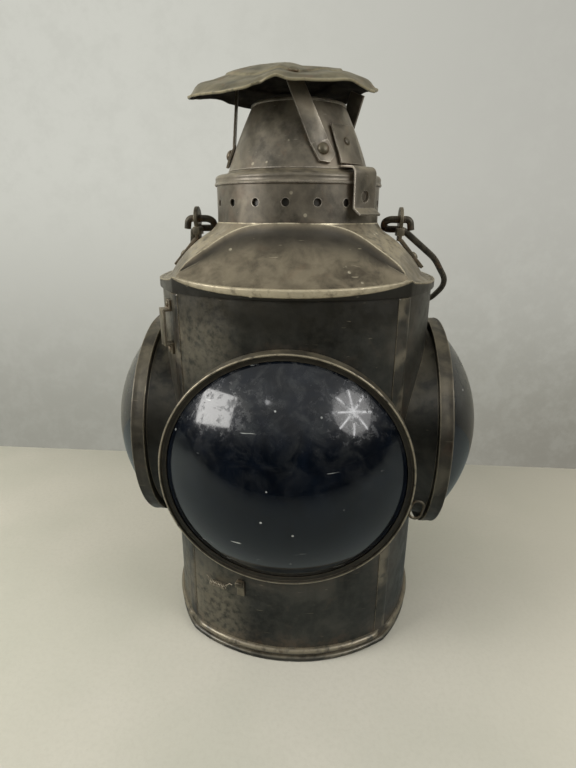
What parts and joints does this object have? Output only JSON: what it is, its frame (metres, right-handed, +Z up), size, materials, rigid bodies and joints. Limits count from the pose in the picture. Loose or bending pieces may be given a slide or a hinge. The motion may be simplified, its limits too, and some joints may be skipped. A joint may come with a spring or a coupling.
{
  "type": "caboose marker lamp",
  "caption": "Round sheet-metal railway marker lamp with domed lenses on every side, a vented hood under a crown cap, a swinging wire bail and a lift-out oil burner.",
  "frame": {"origin": "middle of the underside of the base, on the floor", "axes": "+Z up along the case, -Y out through the front lens, +X out through the right lens; the bail at rest hangs to the back, +Y"},
  "size_m": [0.246, 0.246, 0.3605],
  "materials": {
    "case_paint": "worn dark paint, dusty and rust flecked",
    "shoulder_paint": "dusty beige film over dark paint",
    "hood_paint": "worn grey brown paint with rust at the edges",
    "crown_metal": "weathered, mottled, rust spotted",
    "fitting_metal": "dark, brown where rubbed",
    "wire_steel": "dull, lightly rusted",
    "lens_glass": "dark, glossy, faintly dusty",
    "ring_metal": "dark with a worn light edge",
    "burner_brass": "tarnished",
    "pot_metal": "dull tinplate",
    "wick_cotton": "woven, charred at the top"
  },
  "bodies": {
    "lamp": {"case_body": "case_paint", "case_dome": "shoulder_paint", "vent_collar": "hood_paint", "base_pan": "case_paint", "lens_barrel_front": "case_paint", "lens_barrel_right": "case_paint", "lens_barrel_back": "case_paint", "lens_barrel_left": "case_paint", "lens_front": "lens_glass", "lens_right": "lens_glass", "lens_back": "lens_glass", "lens_left": "lens_glass", "lens_ring_front": "ring_metal", "lens_ring_right": "ring_metal", "lens_ring_back": "ring_metal", "lens_ring_left": "ring_metal", "ring_loop": "wire_steel", "ring_spring": "wire_steel", "spring_tab": "fitting_metal", "latch_button": "hood_paint", "hinge_leaf_lower": "fitting_metal", "hinge_pin": "wire_steel", "bail_ear_left": "fitting_metal", "bail_ear_right": "fitting_metal", "ear_rivets": "fitting_metal", "bracket_loop": "fitting_metal", "bracket_rivets": "fitting_metal", "pot_seat": "case_paint"},
    "hood": {"hood_brim": "hood_paint", "hood_cone": "hood_paint", "latch_plate": "hood_paint", "hood_rivets": "fitting_metal", "crown_cap": "crown_metal", "crown_strap_front": "hood_paint", "crown_strap_left": "hood_paint", "crown_strap_right": "hood_paint", "crown_rivets": "fitting_metal", "hinge_leaf_upper": "fitting_metal", "draft_baffle": "case_paint"},
    "latch": {"latch_strap": "hood_paint"},
    "bail": {"bail": "wire_steel"},
    "burner": {"oil_pot": "pot_metal", "burner_collar": "burner_brass", "burner_body": "burner_brass", "burner_gallery": "burner_brass", "burner_deflector": "burner_brass", "wick_tube": "burner_brass"},
    "wick_feed": {"wick_wheel": "burner_brass", "wick_knob": "burner_brass"},
    "wick": {"wick": "wick_cotton"},
    "cap": {"filler_cap": "burner_brass"}
  },
  "joints": [
    {"name": "hood_open", "type": "hinge", "parent": "lamp", "child": "hood", "pos_m": [-0.03979, 0.0371, 0.292], "axis": [-0.682, -0.7314, 0], "range_deg": [0, 100]},
    {"name": "latch_flex", "type": "hinge", "parent": "hood", "child": "latch", "pos_m": [0.03197, -0.02981, 0.3011], "axis": [-0.682, -0.7314, 0], "range_deg": [0, 12], "stiffness_Nm_per_rad": 0.4},
    {"name": "bail_swing", "type": "hinge", "parent": "lamp", "child": "bail", "pos_m": [0, 0, 0.273], "axis": [1, 0, 0], "range_deg": [0, 250]},
    {"name": "pot_lift", "type": "slide", "parent": "lamp", "child": "burner", "axis": [0, 0, 1], "range_m": [0, 0.16]},
    {"name": "knob_turn", "type": "hinge", "parent": "burner", "child": "wick_feed", "pos_m": [0, 0.0053, 0.0963], "axis": [1, 0, 0], "range_deg": [-57.3, 114.6]},
    {"name": "wick_raise", "type": "slide", "parent": "burner", "child": "wick", "axis": [0, 0, 1], "range_m": [-0.008, 0.004]},
    {"name": "cap_turn", "type": "hinge", "parent": "burner", "child": "cap", "pos_m": [-0.024, 0.014, 0.088], "axis": [0, 0, 1], "range_deg": [0, 540]}
  ],
  "couplings": [
    {"joint": "wick_raise", "follows": "knob_turn", "m_per_rad": -0.004}
  ]
}
